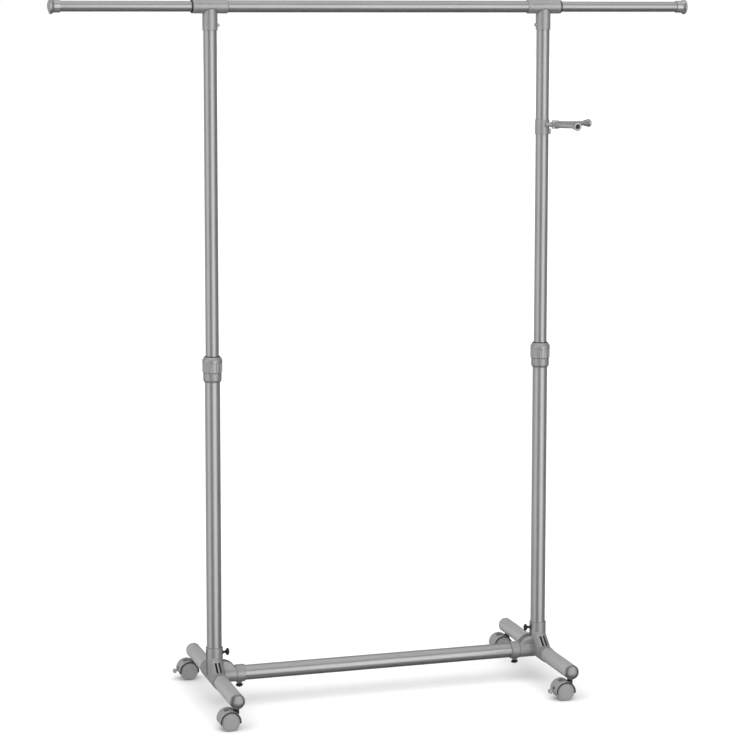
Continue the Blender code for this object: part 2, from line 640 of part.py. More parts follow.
def apply_modifiers():
    """Turn every part into a plain mesh, shaded smooth with crisp edges."""
    bpy.context.view_layer.update()
    graph = bpy.context.evaluated_depsgraph_get()
    for obj in parts.objects:
        mesh = bpy.data.meshes.new_from_object(obj.evaluated_get(graph))
        weld(mesh)
        obj.modifiers.clear()
        obj.data = mesh
        mesh.name = obj.name
        mesh.shade_smooth()
        mesh.set_sharp_from_angle(angle=math.radians(35))


base()
for label, side in SIDES.items():
    lock_collar(label, side)
    lock_nut(label, side)
upper_frame()
hook()
for end_label in ENDS:
    for label in SIDES:
        caster(end_label, label)
apply_modifiers()
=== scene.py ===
"""Garment rail: fine meshes, finishes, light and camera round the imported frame."""

import json
import math

import bmesh
import bpy
from mathutils import Matrix, Vector


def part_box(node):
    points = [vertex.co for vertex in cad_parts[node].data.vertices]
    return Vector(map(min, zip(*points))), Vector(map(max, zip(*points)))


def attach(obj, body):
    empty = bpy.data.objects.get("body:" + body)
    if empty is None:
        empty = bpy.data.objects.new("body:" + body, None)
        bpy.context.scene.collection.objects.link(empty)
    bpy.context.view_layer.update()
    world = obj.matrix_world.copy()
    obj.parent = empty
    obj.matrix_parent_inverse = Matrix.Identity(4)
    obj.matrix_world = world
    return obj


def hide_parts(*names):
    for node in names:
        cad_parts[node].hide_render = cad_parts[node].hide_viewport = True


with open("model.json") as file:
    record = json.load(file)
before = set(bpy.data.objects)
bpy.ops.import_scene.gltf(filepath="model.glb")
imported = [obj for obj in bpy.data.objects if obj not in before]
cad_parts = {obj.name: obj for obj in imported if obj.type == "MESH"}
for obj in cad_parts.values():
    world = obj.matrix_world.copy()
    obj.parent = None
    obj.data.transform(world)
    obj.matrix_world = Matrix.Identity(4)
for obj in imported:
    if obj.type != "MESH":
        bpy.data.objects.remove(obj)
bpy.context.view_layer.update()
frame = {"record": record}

# ---- What the frame says ----
record = frame["record"]
BODY = {node: body for body, nodes in record["behaviour"]["bodies"].items() for node in nodes}
SLOT = {part["node"]: part["material_slot"] for part in record["subparts"]}
X_AXIS, Y_AXIS, Z_AXIS = Vector((1, 0, 0)), Vector((0, 1, 0)), Vector((0, 0, 1))
AXES = (X_AXIS, Y_AXIS, Z_AXIS)
SIDES = {"left": -1, "right": 1}
ENDS = {"front": -1, "rear": 1}
PLACES = [(end, side) for end in ENDS for side in SIDES]


def middle(node):
    low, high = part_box(node)
    return (low + high) / 2


def extent(node, axis):
    low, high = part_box(node)
    return high[axis] - low[axis]


POST_X = middle("lower_post_right").x
FOOT_Z = middle("base_bar").z
RAIL_Z = middle("centre_rail").z
LOWER_R = extent("base_bar", 2) / 2
UPPER_R = extent("upper_post_right", 0) / 2
RAIL_R = extent("centre_rail", 2) / 2
EXTENSION_R = extent("rail_extension_right", 2) / 2

# ---- Shapes that the boxes don't give, in metres ----
GAP = 0.0003                # clearance between fitted pieces
PAST = 0.010                # how far a cutter runs past the face it opens
THROUGH = 0.05              # half the length of a cutter that runs right through a fitting
UNDER_SIZE = (0.2, 0.2, 0.1)    # a cutter that takes away everything below a height
UNDER_DROP = 0.05               # its middle, below that height
BORE_R = LOWER_R + GAP
WALL = 0.0015               # of the lower tubes
UPPER_WALL = 0.0013
RAIL_WALL = 0.0012

# Corner fitting
SOCKET_R = 0.01825          # upright socket
SOCKET_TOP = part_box("corner_right")[1].z
BRANCH_R = 0.0176           # foot and base-bar sockets
FOOT_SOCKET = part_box("corner_right")[1].y
BAR_SOCKET = 0.0655         # mouth of the base-bar socket from the post's axis
BAR_RIM = 0.0185            # thicker lip at that mouth
BAR_RIM_R = 0.0186
POST_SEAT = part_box("lower_post_right")[0].z
BRANCH_SEAT = 0.0220        # inner end of the foot and base-bar bores, from the post's axis
FAIRING_R = 0.0170          # sloping fairing over each foot socket
FAIRING_SLOPE = math.radians(39.5)
FAIRING_TOP = (0.028, 0.093)    # a point of its ridge, (distance from the post, height)
FAIRING_RUN = (-0.020, 0.030)   # its ends along the slope, from that point
SLOT_X = 0.0038             # each fairing has two slots, this far from its middle
SLOT_SIZE = (0.0043, 0.0278, 0.006)
SLOT_MIDDLE = (0.010, 0.0082)   # middle of the slots, out from and below FAIRING_TOP
SEAM_WIDTH = 0.0028         # two parting seams up the socket's sides and over the dome
SEAM_DEPTH = 0.0011
SEAM_PROUD = 0.0015         # how far the dome's cutter stands out, short of the bar socket's rim
SEAM_CLEAR = 0.0057         # radius round the knob's boss that the seams leave alone
SEAM_Y = (0.0050, 0.0042)   # from the fitting's middle, on the socket and on the dome
SEAM_TOP = SOCKET_TOP - 0.0030
SEAM_FOOT = FOOT_Z + 0.0020     # lower end on the outer side
SEAM_BAR = 0.0765               # lower end on the dome, at the base-bar socket
TOUCH = 0.00002             # how near a cutter's wall a face must lie to belong to it
DOME_R = 0.0290             # rounded fairing towards the base bar
DOME_CENTRE = (0.0185, 0.0620)
DOME_WIDTH = 0.024
DOME_EDGE = 0.0050
STUD_R = 0.0036             # moulded stud under each foot socket
STUD_Y = 0.0530
STUD_PROUD = 0.0014
# The knobs' bosses: (radius, distance from the tube's axis) at the tip and at the root.
POST_BOSS = ((0.0042, 0.0198), (0.0052, 0.0170))
BAR_BOSS = ((0.0052, 0.0218), (0.0082, 0.0165))

# Knobs and nuts
KNOB_LOBES = 4
KNOB_RELIEF = 0.20          # how far the lobes stand out, as a part of the radius
KNOB_CORE = 0.005           # the lobes fade out inside this radius
KNOB_R = 0.0066
KNOB_HEAD = 0.0068          # length of its head
CAP_RIM = 0.0033            # a foot cap's plug ends here and its rim begins
CAP_CROWN = 0.0013          # its dome is widest this far beyond that
NUT_R = 0.02125
NUT_SHOULDER_R = 0.0190     # no flutes inside this radius
NUT_SEAT = 0.0165           # depth of the lower post's bore in the nut
NUT_SHADE_LIP = 0.0018            # height of the black ring of painted shade in its mouth
NUT_STEP = 0.0005           # spacing of points along its outline
NUT_FLUTES = 12
NUT_SIDES = 24 * NUT_FLUTES
FLUTE_R = 0.0034
FLUTE_DEPTH = 0.0014
FLUTE_TOP = 0.0200

# Tees
TEE_R = 0.01475
TEE_SOCKET_R = 0.0158
ARCH_DROP = 0.0215          # from the rail's axis down to the middle of the arched top
TEE_GROOVE = 0.0012         # width and depth of the shadow line round the arch
TEE_CHAMFER = 0.0016
TEE_SEAT = 0.0177           # top of the post's bore, below the rail's axis
LEGS_SIZE = (0.099, 0.06)   # depth and height of the arch's straight part
LEGS_DROP = 0.0302          # its middle, below the arch's

# Hook
PEG_LENGTH = 0.109
PEG_ANGLES = {"hook_cap_front": -85.1, "hook_cap_rear": 25.7}   # degrees round the hub from +X
PEG_HUB_R = 0.0080
HUB_SPACE_R = 0.0083
HUB_OFFSET = (0.024, -0.0175)   # from the post's axis
LUG_OFFSET = (0.0152, -0.0052)  # small lug on the clamp, from the post's axis
CLAMP_R = 0.0155
CLAMP_BORES = (1.19, 1.26)  # heights between which the clamp is bored
CLAMP_SPLITS = (-140, 40)   # the two seams down the clamp, degrees from +X

# Casters
WHEEL_R = 0.020
HOOD_R = 0.0220
HOOD_WALL = 0.0011
HOOD_HALF = 0.0197
SHADE_LIP_HALF = 0.0198           # the black lip of painted shade stands just proud of the hood
HOOD_SKIRT = 0.0040
WEB_HALF = 0.0046
BOSS_R = 0.0062             # black boss round the stem
BOSS_FOOT = 0.0320
BOSS_TOP = 0.0402
PANEL_ANGLE = 104           # recessed panel on the hood, degrees round the wheel from +X
PANEL_SPAN = 13             # each way from its middle, degrees
PANEL_HALF = 0.0085
PANEL_DEPTH = 0.0005
SHADE_LIP_SKIRT = 0.0035
SHADE_LIP_RADII = (0.0188, 0.0219)
SHADE_LIP_BACK = 0.0191           # from the hood's middle
HOLE_R = 0.0029             # the axle's bore
SEAT_R = 0.0035             # the bores of the stem and of a brake lever's hub
STEM_SEAT = (0.0207, 0.06)  # ends of the stem's bore
NOTCH_SIZE = (0.0120, 0.0108, 0.0165)   # room for a brake lever
NOTCH_X = 0.0222
STEM_R = 0.0032
STEM_COLLAR_R = 0.0056
STEM_COLLAR_FOOT = 0.0405
AXLE_R = 0.0026
LEVER_R = 0.0032            # a brake lever's hub
LEVER_HALF = 0.0043
LEVER_X = 0.0140            # distance of its pivot from the axle
ARM_SIZE = (0.0085, 0.0034)
PAD_SIZE = (0.0058, 0.0108)
RIDGE_R = 0.0008
RIDGE_PITCH = 0.0020
WHEEL_TRAIL = middle("caster_stem_front_right").x - middle("caster_axle_front_right").x
WHEEL_CENTRE = Vector((-WHEEL_TRAIL, 0, WHEEL_R))   # from the floor under the stem
BRAKED = [place for place in PLACES if f"brake_lever_{place[0]}_{place[1]}" in BODY]

WELD = 0.000002             # points this near are one point
VOXEL = 0.0006     # grid on which moulded shapes are blended
ROUND = 96                                   # sides of a turned piece
BORE_SIDES = 90                              # off the outside's facets, so no edges line up


# ---- Materials ----
MIX_FIRST, MIX_SECOND, MIX_RESULT = 6, 7, 2     # a Mix node's colour sockets


class Shade:
    """A node material built up step by step round one Principled shader."""

    def __init__(self, name, roughness, metallic=0.0, coat=0.0, coat_roughness=0.1):
        self.material = bpy.data.materials.new(name)
        self.material.use_nodes = True
        self.tree = self.material.node_tree
        self.shader = self.tree.nodes["Principled BSDF"]
        self.shader.inputs["Metallic"].default_value = metallic
        self.shader.inputs["Roughness"].default_value = roughness
        self.shader.inputs["Coat Weight"].default_value = coat
        self.shader.inputs["Coat Roughness"].default_value = coat_roughness

    def add(self, kind, **values):
        node = self.tree.nodes.new(kind)
        for key, value in values.items():
            if key in node.inputs:
                node.inputs[key].default_value = value
            else:
                setattr(node, key.lower(), value)
        return node

    def link(self, out, into):
        self.tree.links.new(out, into)

    def noise(self, scale, detail=3.0, stretch=(1, 1, 1)):
        place = self.add("ShaderNodeTexCoord")
        mapping = self.add("ShaderNodeMapping")
        mapping.inputs["Scale"].default_value = stretch
        texture = self.add("ShaderNodeTexNoise", Scale=scale, Detail=detail, Roughness=0.6)
        self.link(place.outputs["Object"], mapping.inputs["Vector"])
        self.link(mapping.outputs["Vector"], texture.inputs["Vector"])
        return texture.outputs["Fac"]

    def span(self, value, low, high, from_low=0.3, from_high=0.7):
        step = self.add("ShaderNodeMapRange")
        for key, number in (("From Min", from_low), ("From Max", from_high), ("To Min", low),
                            ("To Max", high)):
            step.inputs[key].default_value = number
        self.link(value, step.inputs["Value"])
        return step.outputs["Result"]

    def blend(self, factor, first, second):
        """Mix two colours. The first may also be another node's colour."""
        mix = self.add("ShaderNodeMix", data_type="RGBA")
        if isinstance(first, bpy.types.NodeSocket):
            self.link(first, mix.inputs[MIX_FIRST])
        else:
            mix.inputs[MIX_FIRST].default_value = (*first, 1)
        mix.inputs[MIX_SECOND].default_value = (*second, 1)
        self.link(factor, mix.inputs[0])
        return mix.outputs[MIX_RESULT]

    def edges(self, strength):
        """How exposed a point is: 0 on flats, up to strength along worn edges."""
        geometry = self.add("ShaderNodeNewGeometry")
        return self.span(geometry.outputs["Pointiness"], 0.0, strength, 0.52, 0.60)

    def bump(self, height, distance, strength=0.4):
        step = self.add("ShaderNodeBump", Strength=strength, Distance=distance)
        self.link(height, step.inputs["Height"])
        self.link(step.outputs["Normal"], self.shader.inputs["Normal"])


def grey(value):
    return (value, value, value * 1.01)


def satin_metal(name, level, roughness, drawn=True):
    """Coated steel. On a drawn tube faint streaks run along its own Z axis."""
    shade = Shade(name, roughness, metallic=0.85)
    streak = shade.noise(9.0, 4.0, (60.0, 60.0, 0.8)) if drawn else shade.noise(900.0, 2.0)
    cloud = shade.noise(14.0, 2.0)
    colour = shade.blend(shade.span(streak, 0, 1), grey(level * 0.90), grey(level * 1.08))
    colour = shade.blend(shade.span(cloud, 0.0, 0.25), colour, grey(level * 1.12))
    colour = shade.blend(shade.edges(0.35), colour, grey(min(1.0, level * 1.5)))
    shade.link(colour, shade.shader.inputs["Base Color"])
    shade.link(shade.span(streak, roughness - 0.05, roughness + 0.06),
               shade.shader.inputs["Roughness"])
    shade.bump(streak, 0.00006 if drawn else 0.00001, 0.25)
    return shade.material


def moulded(name, level, roughness, metallic=0.0, grain=0.00005, coat=0.0, wear=0.25):
    """Moulded plastic: fine spark-eroded grain, cloudy pigment and paler worn edges."""
    shade = Shade(name, roughness, metallic, coat)
    fine = shade.noise(2600.0, 2.0)
    cloud = shade.noise(60.0, 4.0)
    colour = shade.blend(shade.span(cloud, 0, 1), grey(level * 0.93), grey(level * 1.07))
    colour = shade.blend(shade.edges(wear), colour, grey(min(1.0, level * 1.5 + 0.02)))
    shade.link(colour, shade.shader.inputs["Base Color"])
    shade.link(shade.span(fine, roughness - 0.04, roughness + 0.07),
               shade.shader.inputs["Roughness"])
    shade.bump(fine, grain, 0.35)
    return shade.material


TUBE_FINISHES = {"satin_steel": (0.47, 0.29), "foot_tube": (0.74, 0.46)}
BENT_ROD_FINISH = (0.66, 0.32)      # the hook's pegs look lighter than the drawn tubes
PLAIN_FINISHES = {
    "corner_plastic": dict(level=0.38, roughness=0.38, metallic=0.70),
    "fitting_plastic": dict(level=0.42, roughness=0.38, metallic=0.70),
    "foot_cap": dict(level=0.25, roughness=0.12, metallic=0.75, coat=1.0, grain=0.000008),
    "cap_plastic": dict(level=0.46, roughness=0.14, metallic=0.75, coat=0.8, grain=0.00001),
    "hood_plastic": dict(level=0.31, roughness=0.40, metallic=0.25),
    "hood_panel": dict(level=0.10, roughness=0.45),
    "wheel_grey": dict(level=0.27, roughness=0.50),
    "black_plastic": dict(level=0.012, roughness=0.42, grain=0.00003),
    "bright_steel": dict(level=0.62, roughness=0.20, metallic=1.0, grain=0.00001),
    # painted shade: near-black colour for the corner fittings' slots and seams, where shade falls
    "painted_gap_shade": dict(level=0.010, roughness=0.60),
}
made_materials = {}


def finish_for(slot, drawn=True):
    """The material for a slot. Only a drawn tube has streaks."""
    key = slot if drawn or slot not in TUBE_FINISHES else f"{slot}_cast"
    if key not in made_materials:
        if slot in TUBE_FINISHES:
            level, roughness = TUBE_FINISHES[slot] if drawn else BENT_ROD_FINISH
            made_materials[key] = satin_metal(key, level, roughness, drawn)
        else:
            made_materials[key] = moulded(key, **PLAIN_FINISHES[slot])
    return made_materials[key]


# ---- Mesh helpers ----
def new_object(name, mesh, matrix=Matrix.Identity(4)):
    obj = bpy.data.objects.new(name, mesh)
    bpy.context.scene.collection.objects.link(obj)
    obj.matrix_world = matrix
    return obj


def toward(origin, direction):
    """A place whose local Z points in a direction."""
    turn = Z_AXIS.rotation_difference(Vector(direction)).to_matrix().to_4x4()
    return Matrix.Translation(origin) @ turn


def rounded(outline, radius, steps=4):
    """Round each corner of an outline of (radius, height) points. Points on the axis stay."""
    count = len(outline)
    ring = outline[0][0] > 0
    points = []
    for i, point in enumerate(outline):
        here = Vector(point)
        if not ring and i in (0, count - 1):
            points.append(tuple(here))
            continue
        before, after = Vector(outline[i - 1]), Vector(outline[(i + 1) % count])
        reach = min(radius, (before - here).length * 0.45, (after - here).length * 0.45)
        start = here + (before - here).normalized() * reach
        end = here + (after - here).normalized() * reach
        for step in range(steps + 1):
            t = step / steps
            points.append(tuple(start * (1 - t) ** 2 + here * 2 * t * (1 - t) + end * t ** 2))
    return points


def turned(name, outline, origin=(0, 0, 0), direction=Z_AXIS, sides=ROUND, shape=None):
    """Turn an outline about local Z. It closes on itself if it starts off the axis. shape may
    change a point's radius: it takes (angle, radius, height)."""
    mesh = bpy.data.meshes.new(name)
    work = bmesh.new()
    verts = [work.verts.new((r, 0, z)) for r, z in outline]
    edges = [work.edges.new(pair) for pair in zip(verts, verts[1:])]
    if outline[0][0] > 0:
        edges.append(work.edges.new((verts[-1], verts[0])))
    bmesh.ops.spin(work, geom=verts + edges, axis=(0, 0, 1), cent=(0, 0, 0), steps=sides,
                   angle=2 * math.pi)
    bmesh.ops.remove_doubles(work, verts=work.verts, dist=WELD)
    bmesh.ops.recalc_face_normals(work, faces=work.faces)
    if shape:
        for vert in work.verts:
            radius = math.hypot(vert.co.x, vert.co.y)
            if radius > 0:
                new = shape(math.atan2(vert.co.y, vert.co.x), radius, vert.co.z)
                vert.co.x *= new / radius
                vert.co.y *= new / radius
    work.to_mesh(mesh)
    work.free()
    smooth(mesh)
    return new_object(name, mesh, toward(origin, direction))


def smooth(mesh, angle=35):
    mesh.shade_smooth()
    mesh.set_sharp_from_angle(angle=math.radians(angle))


def rod(name, radius, low, high, origin=(0, 0, 0), direction=Z_AXIS, sides=64):
    outline = [(0.0, high), (radius, high), (radius, low), (0.0, low)]
    return turned(name, outline, origin, direction, sides)


def block(name, size, origin, direction=Z_AXIS):
    mesh = bpy.data.meshes.new(name)
    work = bmesh.new()
    bmesh.ops.create_cube(work, size=1.0)
    bmesh.ops.scale(work, vec=size, verts=work.verts)
    work.to_mesh(mesh)
    work.free()
    return new_object(name, mesh, toward(origin, direction))


def combine(obj, others, operation):
    """Boolean obj with each of the others, which are used up."""
    for other in others:
        step = obj.modifiers.new(operation, "BOOLEAN")
        step.operation = operation
        step.solver = "EXACT"
        step.object = other
    settle(obj)
    for other in others:
        bpy.data.objects.remove(other, do_unlink=True)


def weld(mesh):
    """Close the hairline gaps that a boolean can leave."""
    work = bmesh.new()
    work.from_mesh(mesh)
    bmesh.ops.remove_doubles(work, verts=work.verts, dist=WELD)
    bmesh.ops.dissolve_degenerate(work, edges=work.edges, dist=WELD / 2)
    work.to_mesh(mesh)
    work.free()


def settle(obj):
    """Turn an object's modifiers into its plain mesh."""
    bpy.context.view_layer.update()
    graph = bpy.context.evaluated_depsgraph_get()
    mesh = bpy.data.meshes.new_from_object(obj.evaluated_get(graph))
    weld(mesh)
    obj.modifiers.clear()
    obj.data = mesh


def take_mesh(obj):
    """The object's mesh in world coordinates. The object itself goes."""
    mesh = obj.data
    mesh.transform(obj.matrix_world)
    bpy.data.objects.remove(obj)
    return mesh


def mirrored(mesh, axis):
    """A copy of a mesh, mirrored along an axis."""
    copy = mesh.copy()
    copy.transform(Matrix.Scale(-1, 4, axis))
    copy.flip_normals()
    return copy


def mould(obj, voxel=VOXEL, passes=6, keep=0.30):
    """Blend a boolean shape the way a mould does: small fillets inside, soft edges outside."""
    remesh = obj.modifiers.new("grid", "REMESH")
    remesh.mode = "VOXEL"
    remesh.voxel_size = voxel
    relax = obj.modifiers.new("relax", "SMOOTH")
    relax.factor = 0.5
    relax.iterations = passes
    thin = obj.modifiers.new("thin", "DECIMATE")
    thin.ratio = keep
    settle(obj)
    smooth(obj.data, 50)


def stand_for(obj, node, drawn=True, also=()):
    """obj is what shows in place of a CAD node, in that node's finish. also names the
    further finishes on the same piece."""
    obj.name = node + "_fine"
    obj.data.materials.clear()
    obj.data.materials.append(finish_for(SLOT[node], drawn))
    for finish in also:
        obj.data.materials.append(finish_for(finish))
    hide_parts(node)
    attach(obj, BODY[node])
    return obj


def detail(obj, name, body, slot):
    """A small extra piece that no CAD node has."""
    obj.name = name
    obj.data.materials.clear()
    obj.data.materials.append(finish_for(slot))
    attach(obj, body)
    return obj


# ---- Tubes ----
def tube(node, along, wall=WALL):
    low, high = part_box(node)
    centre = (low + high) / 2
    radius = (high - low)[(along + 1) % 3] / 2
    half = (high - low)[along] / 2
    inner = radius - wall
    outline = rounded([(radius, half), (radius, -half), (inner, -half), (inner, half)], 0.0005)
    stand_for(turned(node, outline, centre, AXES[along]), node)


def all_tubes():
    tube("base_bar", 0)
    tube("centre_rail", 0, RAIL_WALL)
    for side in SIDES:
        tube(f"lower_post_{side}", 2)
        tube(f"upper_post_{side}", 2, UPPER_WALL)
        tube(f"rail_extension_{side}", 0, RAIL_WALL)
        for end in ENDS:
            tube(f"foot_tube_{end}_{side}", 1)


# ---- Corner fittings ----
def foot_slope(end):
    along = Vector((0, end * math.cos(FAIRING_SLOPE), -math.sin(FAIRING_SLOPE)))
    normal = Vector((0, end * math.sin(FAIRING_SLOPE), math.cos(FAIRING_SLOPE)))
    return along, normal


def boss(outline, origin, direction):
    (tip_r, tip), (root_r, root) = outline
    outline = [(0, tip), (tip_r, tip), (root_r, root), (0, root)]
    return turned("boss", outline, origin, direction, 48)


def seam_floor():
    """Depth of the socket's seams, from the post's axis."""
    return math.sqrt(SOCKET_R ** 2 - SEAM_Y[0] ** 2) - SEAM_DEPTH


def seam_cutters():
    """Cutters for the parting seams of the right-hand fitting, about its post's foot."""
    deep = seam_floor()
    dome_top = DOME_CENTRE[1] + DOME_R - SEAM_DEPTH
    cutters = []
    for face in (-1, 1):
        for out, foot in ((1, SEAM_FOOT), (-1, dome_top)):
            line = block("seam", (PAST, SEAM_WIDTH, SEAM_TOP - foot),
                         (out * (deep + PAST / 2), face * SEAM_Y[0], (SEAM_TOP + foot) / 2))
            if out < 0:
                knob_z = middle("post_knob_right").z
                combine(line, [rod("boss_clear", SEAM_CLEAR, 0, SOCKET_R + 2 * PAST,
                                   (0, 0, knob_z), -X_AXIS)], "DIFFERENCE")
            cutters.append(line)
        half = SEAM_WIDTH / 2
        ring = turned("seam", [(DOME_R - SEAM_DEPTH, half), (DOME_R + SEAM_PROUD, half),
                               (DOME_R + SEAM_PROUD, -half), (DOME_R - SEAM_DEPTH, -half)],
                      (-DOME_CENTRE[0], face * SEAM_Y[1], DOME_CENTRE[1]), Y_AXIS)
        combine(ring, [block("reach", (0.1, 0.1, 0.1), (-deep - 0.05, 0, SEAM_BAR + 0.05))],
                "INTERSECT")
        cutters.append(ring)
    return cutters


def in_slot(x, y, z):
    """Whether a point on the fitting belongs to a fairing's slot."""
    run = y - FAIRING_TOP[0] - SLOT_MIDDLE[0]
    rise = z - FAIRING_TOP[1] + SLOT_MIDDLE[1]
    cos, sin = math.cos(FAIRING_SLOPE), math.sin(FAIRING_SLOPE)
    place = (abs(x) - SLOT_X, run * cos - rise * sin, run * sin + rise * cos)
    return all(abs(value) <= size / 2 + TOUCH for value, size in zip(place, SLOT_SIZE))


def in_seam(x, y, z):
    """Whether a point on the fitting belongs to a parting seam. The base bar is towards -x."""
    on_socket, on_dome = (abs(y - place) <= SEAM_WIDTH / 2 + TOUCH for place in SEAM_Y)
    foot = SEAM_FOOT if x > 0 else DOME_CENTRE[1] + DOME_R - SEAM_DEPTH
    if on_socket and abs(x) >= seam_floor() - TOUCH and foot - TOUCH <= z <= SEAM_TOP + TOUCH:
        return True
    out = math.hypot(x + DOME_CENTRE[0], z - DOME_CENTRE[1])
    return (on_dome and x < TOUCH - seam_floor() and z >= SEAM_BAR - TOUCH
            and DOME_R - SEAM_DEPTH - TOUCH <= out <= DOME_R + SEAM_PROUD)


def paint_corner_shade(mesh, side):
    """Painted shade: near-black colour in the slots and seams, the fitting's second material."""
    for face in mesh.polygons:
        point = side * face.center.x, abs(face.center.y), face.center.z
        if in_slot(*point) or in_seam(*point):
            face.material_index = 1


def corner_mesh():
    """The right-hand corner fitting, moulded as one piece, about its post's foot."""
    axis = Vector((0, 0, FOOT_Z))
    inward = -X_AXIS
    rim = BAR_SOCKET - BAR_RIM
    body = rod("corner", SOCKET_R, FOOT_Z, SOCKET_TOP)
    dome_centre = DOME_CENTRE[0] * inward + DOME_CENTRE[1] * Z_AXIS
    half = DOME_WIDTH / 2
    dome = turned("dome", rounded([(0, half), (DOME_R, half), (DOME_R, -half), (0, -half)],
                                  DOME_EDGE, 6), dome_centre, Y_AXIS)
    combine(dome, [block("under", UNDER_SIZE, axis - UNDER_DROP * Z_AXIS)], "DIFFERENCE")
    post_knob, bar_knob = middle("post_knob_right"), middle("bar_knob_right")
    solids = [
        rod("feet", BRANCH_R, -FOOT_SOCKET, FOOT_SOCKET, axis, Y_AXIS),
        turned("branch", [(0, BAR_SOCKET), (BAR_RIM_R, BAR_SOCKET), (BAR_RIM_R, rim),
                          (BRANCH_R, rim - 0.001), (BRANCH_R, 0), (0, 0)], axis, inward, 64),
        dome, boss(POST_BOSS, post_knob.z * Z_AXIS, inward),
        boss(BAR_BOSS, Vector((bar_knob.x - POST_X, 0, FOOT_Z)), -Z_AXIS)]
    bores = [rod("post_bore", BORE_R, POST_SEAT, SOCKET_TOP + PAST, sides=BORE_SIDES),
             rod("bar_bore", BORE_R, BRANCH_SEAT, BAR_SOCKET + PAST, axis, inward, BORE_SIDES)]
    slots = []
    for end in ENDS.values():
        along, normal = foot_slope(end)
        ridge = Vector((0, end * FAIRING_TOP[0], FAIRING_TOP[1]))
        solids.append(rod("fairing", FAIRING_R, *FAIRING_RUN, ridge - FAIRING_R * normal, along))
        solids.append(rod("stud", STUD_R, LOWER_R * 0.75, BRANCH_R + STUD_PROUD,
                          axis + end * STUD_Y * Y_AXIS, -Z_AXIS, 32))
        bores.append(rod("foot_bore", BORE_R, BRANCH_SEAT, FOOT_SOCKET + PAST, axis,
                         end * Y_AXIS, BORE_SIDES))
        slots += [block("slot", SLOT_SIZE, slot_place(end, step), normal) for step in (-1, 1)]
    combine(body, solids, "UNION")
    combine(body, bores, "DIFFERENCE")
    mould(body)
    combine(body, slots + seam_cutters(), "DIFFERENCE")
    smooth(body.data, 40)
    return take_mesh(body)


def slot_place(end, step):
    """Where one of the two slots down a fairing lies, about the post's foot."""
    return Vector((step * SLOT_X, end * (FAIRING_TOP[0] + SLOT_MIDDLE[0]),
                   FAIRING_TOP[1] - SLOT_MIDDLE[1]))


def corners():
    right = corner_mesh()
    for label, side in SIDES.items():
        place = Matrix.Translation((side * POST_X, 0, 0))
        mesh = right if side > 0 else mirrored(right, X_AXIS)
        # the second material is painted shade in the slots and seams
        fitting = stand_for(new_object("corner", mesh, place), f"corner_{label}",
                            also=("painted_gap_shade",))
        paint_corner_shade(fitting.data, side)


# ---- Knobs, caps, nuts ----
def star(angle, radius, height):
    """Lobed outline. The same at every height."""
    lobes = math.cos(KNOB_LOBES * angle) * min(1.0, radius / KNOB_CORE)
    return radius * (1 + KNOB_RELIEF * lobes)


def knob(node, direction):
    """Four-lobed clamp knob, its head domed and its screw running into the fitting."""
    low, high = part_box(node)
    length = abs((high - low).dot(Vector(direction)))
    origin = (low + high) / 2 - Vector(direction) * length / 2
    head = length - KNOB_HEAD
    radius = KNOB_R
    outline = [(0, length), (radius * 0.7, length - 0.0003), (radius, length - 0.0022),
               (radius, head + 0.0018), (radius * 0.72, head), (0.0036, head - 0.0004),
               (0.0030, head - 0.0024), (0.0024, head - 0.0028), (0.0024, 0), (0, 0)]
    stand_for(turned(node, rounded(outline, 0.0012), origin, direction, 96, star), node)


def foot_cap(node, out):
    """Domed plug with a rim against the tube's end."""
    low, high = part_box(node)
    length = extent(node, 1)
    centre = (low + high) / 2 - out * length / 2
    radius = extent(node, 0) / 2
    plug = radius - WALL - GAP
    crown = CAP_RIM + CAP_CROWN
    dome = [(radius * math.sin(a), crown + (length - crown) * math.cos(a))
            for a in [math.radians(step) for step in range(6, 85, 6)]]
    groove = radius - 0.0004
    outline = [(0, length)] + dome + [
        (radius, CAP_RIM + 0.0019), (groove, CAP_RIM + 0.0016), (groove, CAP_RIM + 0.0012),
        (radius, CAP_RIM + 0.0009), (radius, CAP_RIM), (plug, CAP_RIM), (plug, 0), (0, 0)]
    stand_for(turned(node, outline, centre, out), node)


def flutes(angle, radius, height):
    """Scalloped grip: the scallops run out in round arches towards the top."""
    if radius < NUT_SHOULDER_R or height > FLUTE_TOP + FLUTE_R:
        return radius
    reach = FLUTE_R
    if height > FLUTE_TOP:
        reach = math.sqrt(max(0.0, FLUTE_R ** 2 - (height - FLUTE_TOP) ** 2))
    pitch = 2 * math.pi / NUT_FLUTES
    off = (angle % pitch) - pitch / 2
    far = NUT_R - FLUTE_DEPTH + FLUTE_R
    inside = reach ** 2 - (far * math.sin(off)) ** 2
    if inside <= 0:
        return radius
    return min(radius, far * math.cos(off) - math.sqrt(inside))


def nut(label, side):
    node = f"lock_nut_{label}"
    low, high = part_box(node)
    height = high.z - low.z
    outline = rounded([
        (UPPER_R + 0.0022, height - 0.0014), (0.0172, height - 0.0016), (0.0188, height - 0.0038),
        (0.0203, height - 0.0062), (NUT_R, height - 0.0086), (NUT_R, 0.0012), (0.0202, 0.0),
        (BORE_R, 0.0), (BORE_R, NUT_SEAT), (UPPER_R + GAP, NUT_SEAT),
        (UPPER_R + GAP, height - 0.0021), (UPPER_R + 0.0022, height - 0.0021)], 0.0006)
    fine = []
    for start, end in zip(outline, outline[1:] + outline[:1]):
        pieces = max(1, round((Vector(end) - Vector(start)).length / NUT_STEP))
        for step in range(pieces):
            fine.append(tuple(Vector(start).lerp(Vector(end), step / pieces)))
    stand_for(turned(node, fine, (side * POST_X, 0, low.z), Z_AXIS, NUT_SIDES, flutes),
              node)
    # a black ring of painted shade in the nut's mouth, round the upper post
    shade_lip = rounded([(UPPER_R + 0.0014, NUT_SHADE_LIP), (UPPER_R + 0.0020, 0), (UPPER_R + GAP, 0),
                   (UPPER_R + GAP, NUT_SHADE_LIP)], 0.0003)
    detail(turned("shade_lip", shade_lip, (side * POST_X, 0, high.z - NUT_SHADE_LIP)), f"nut_shade_lip_{label}", node,
           "black_plastic")


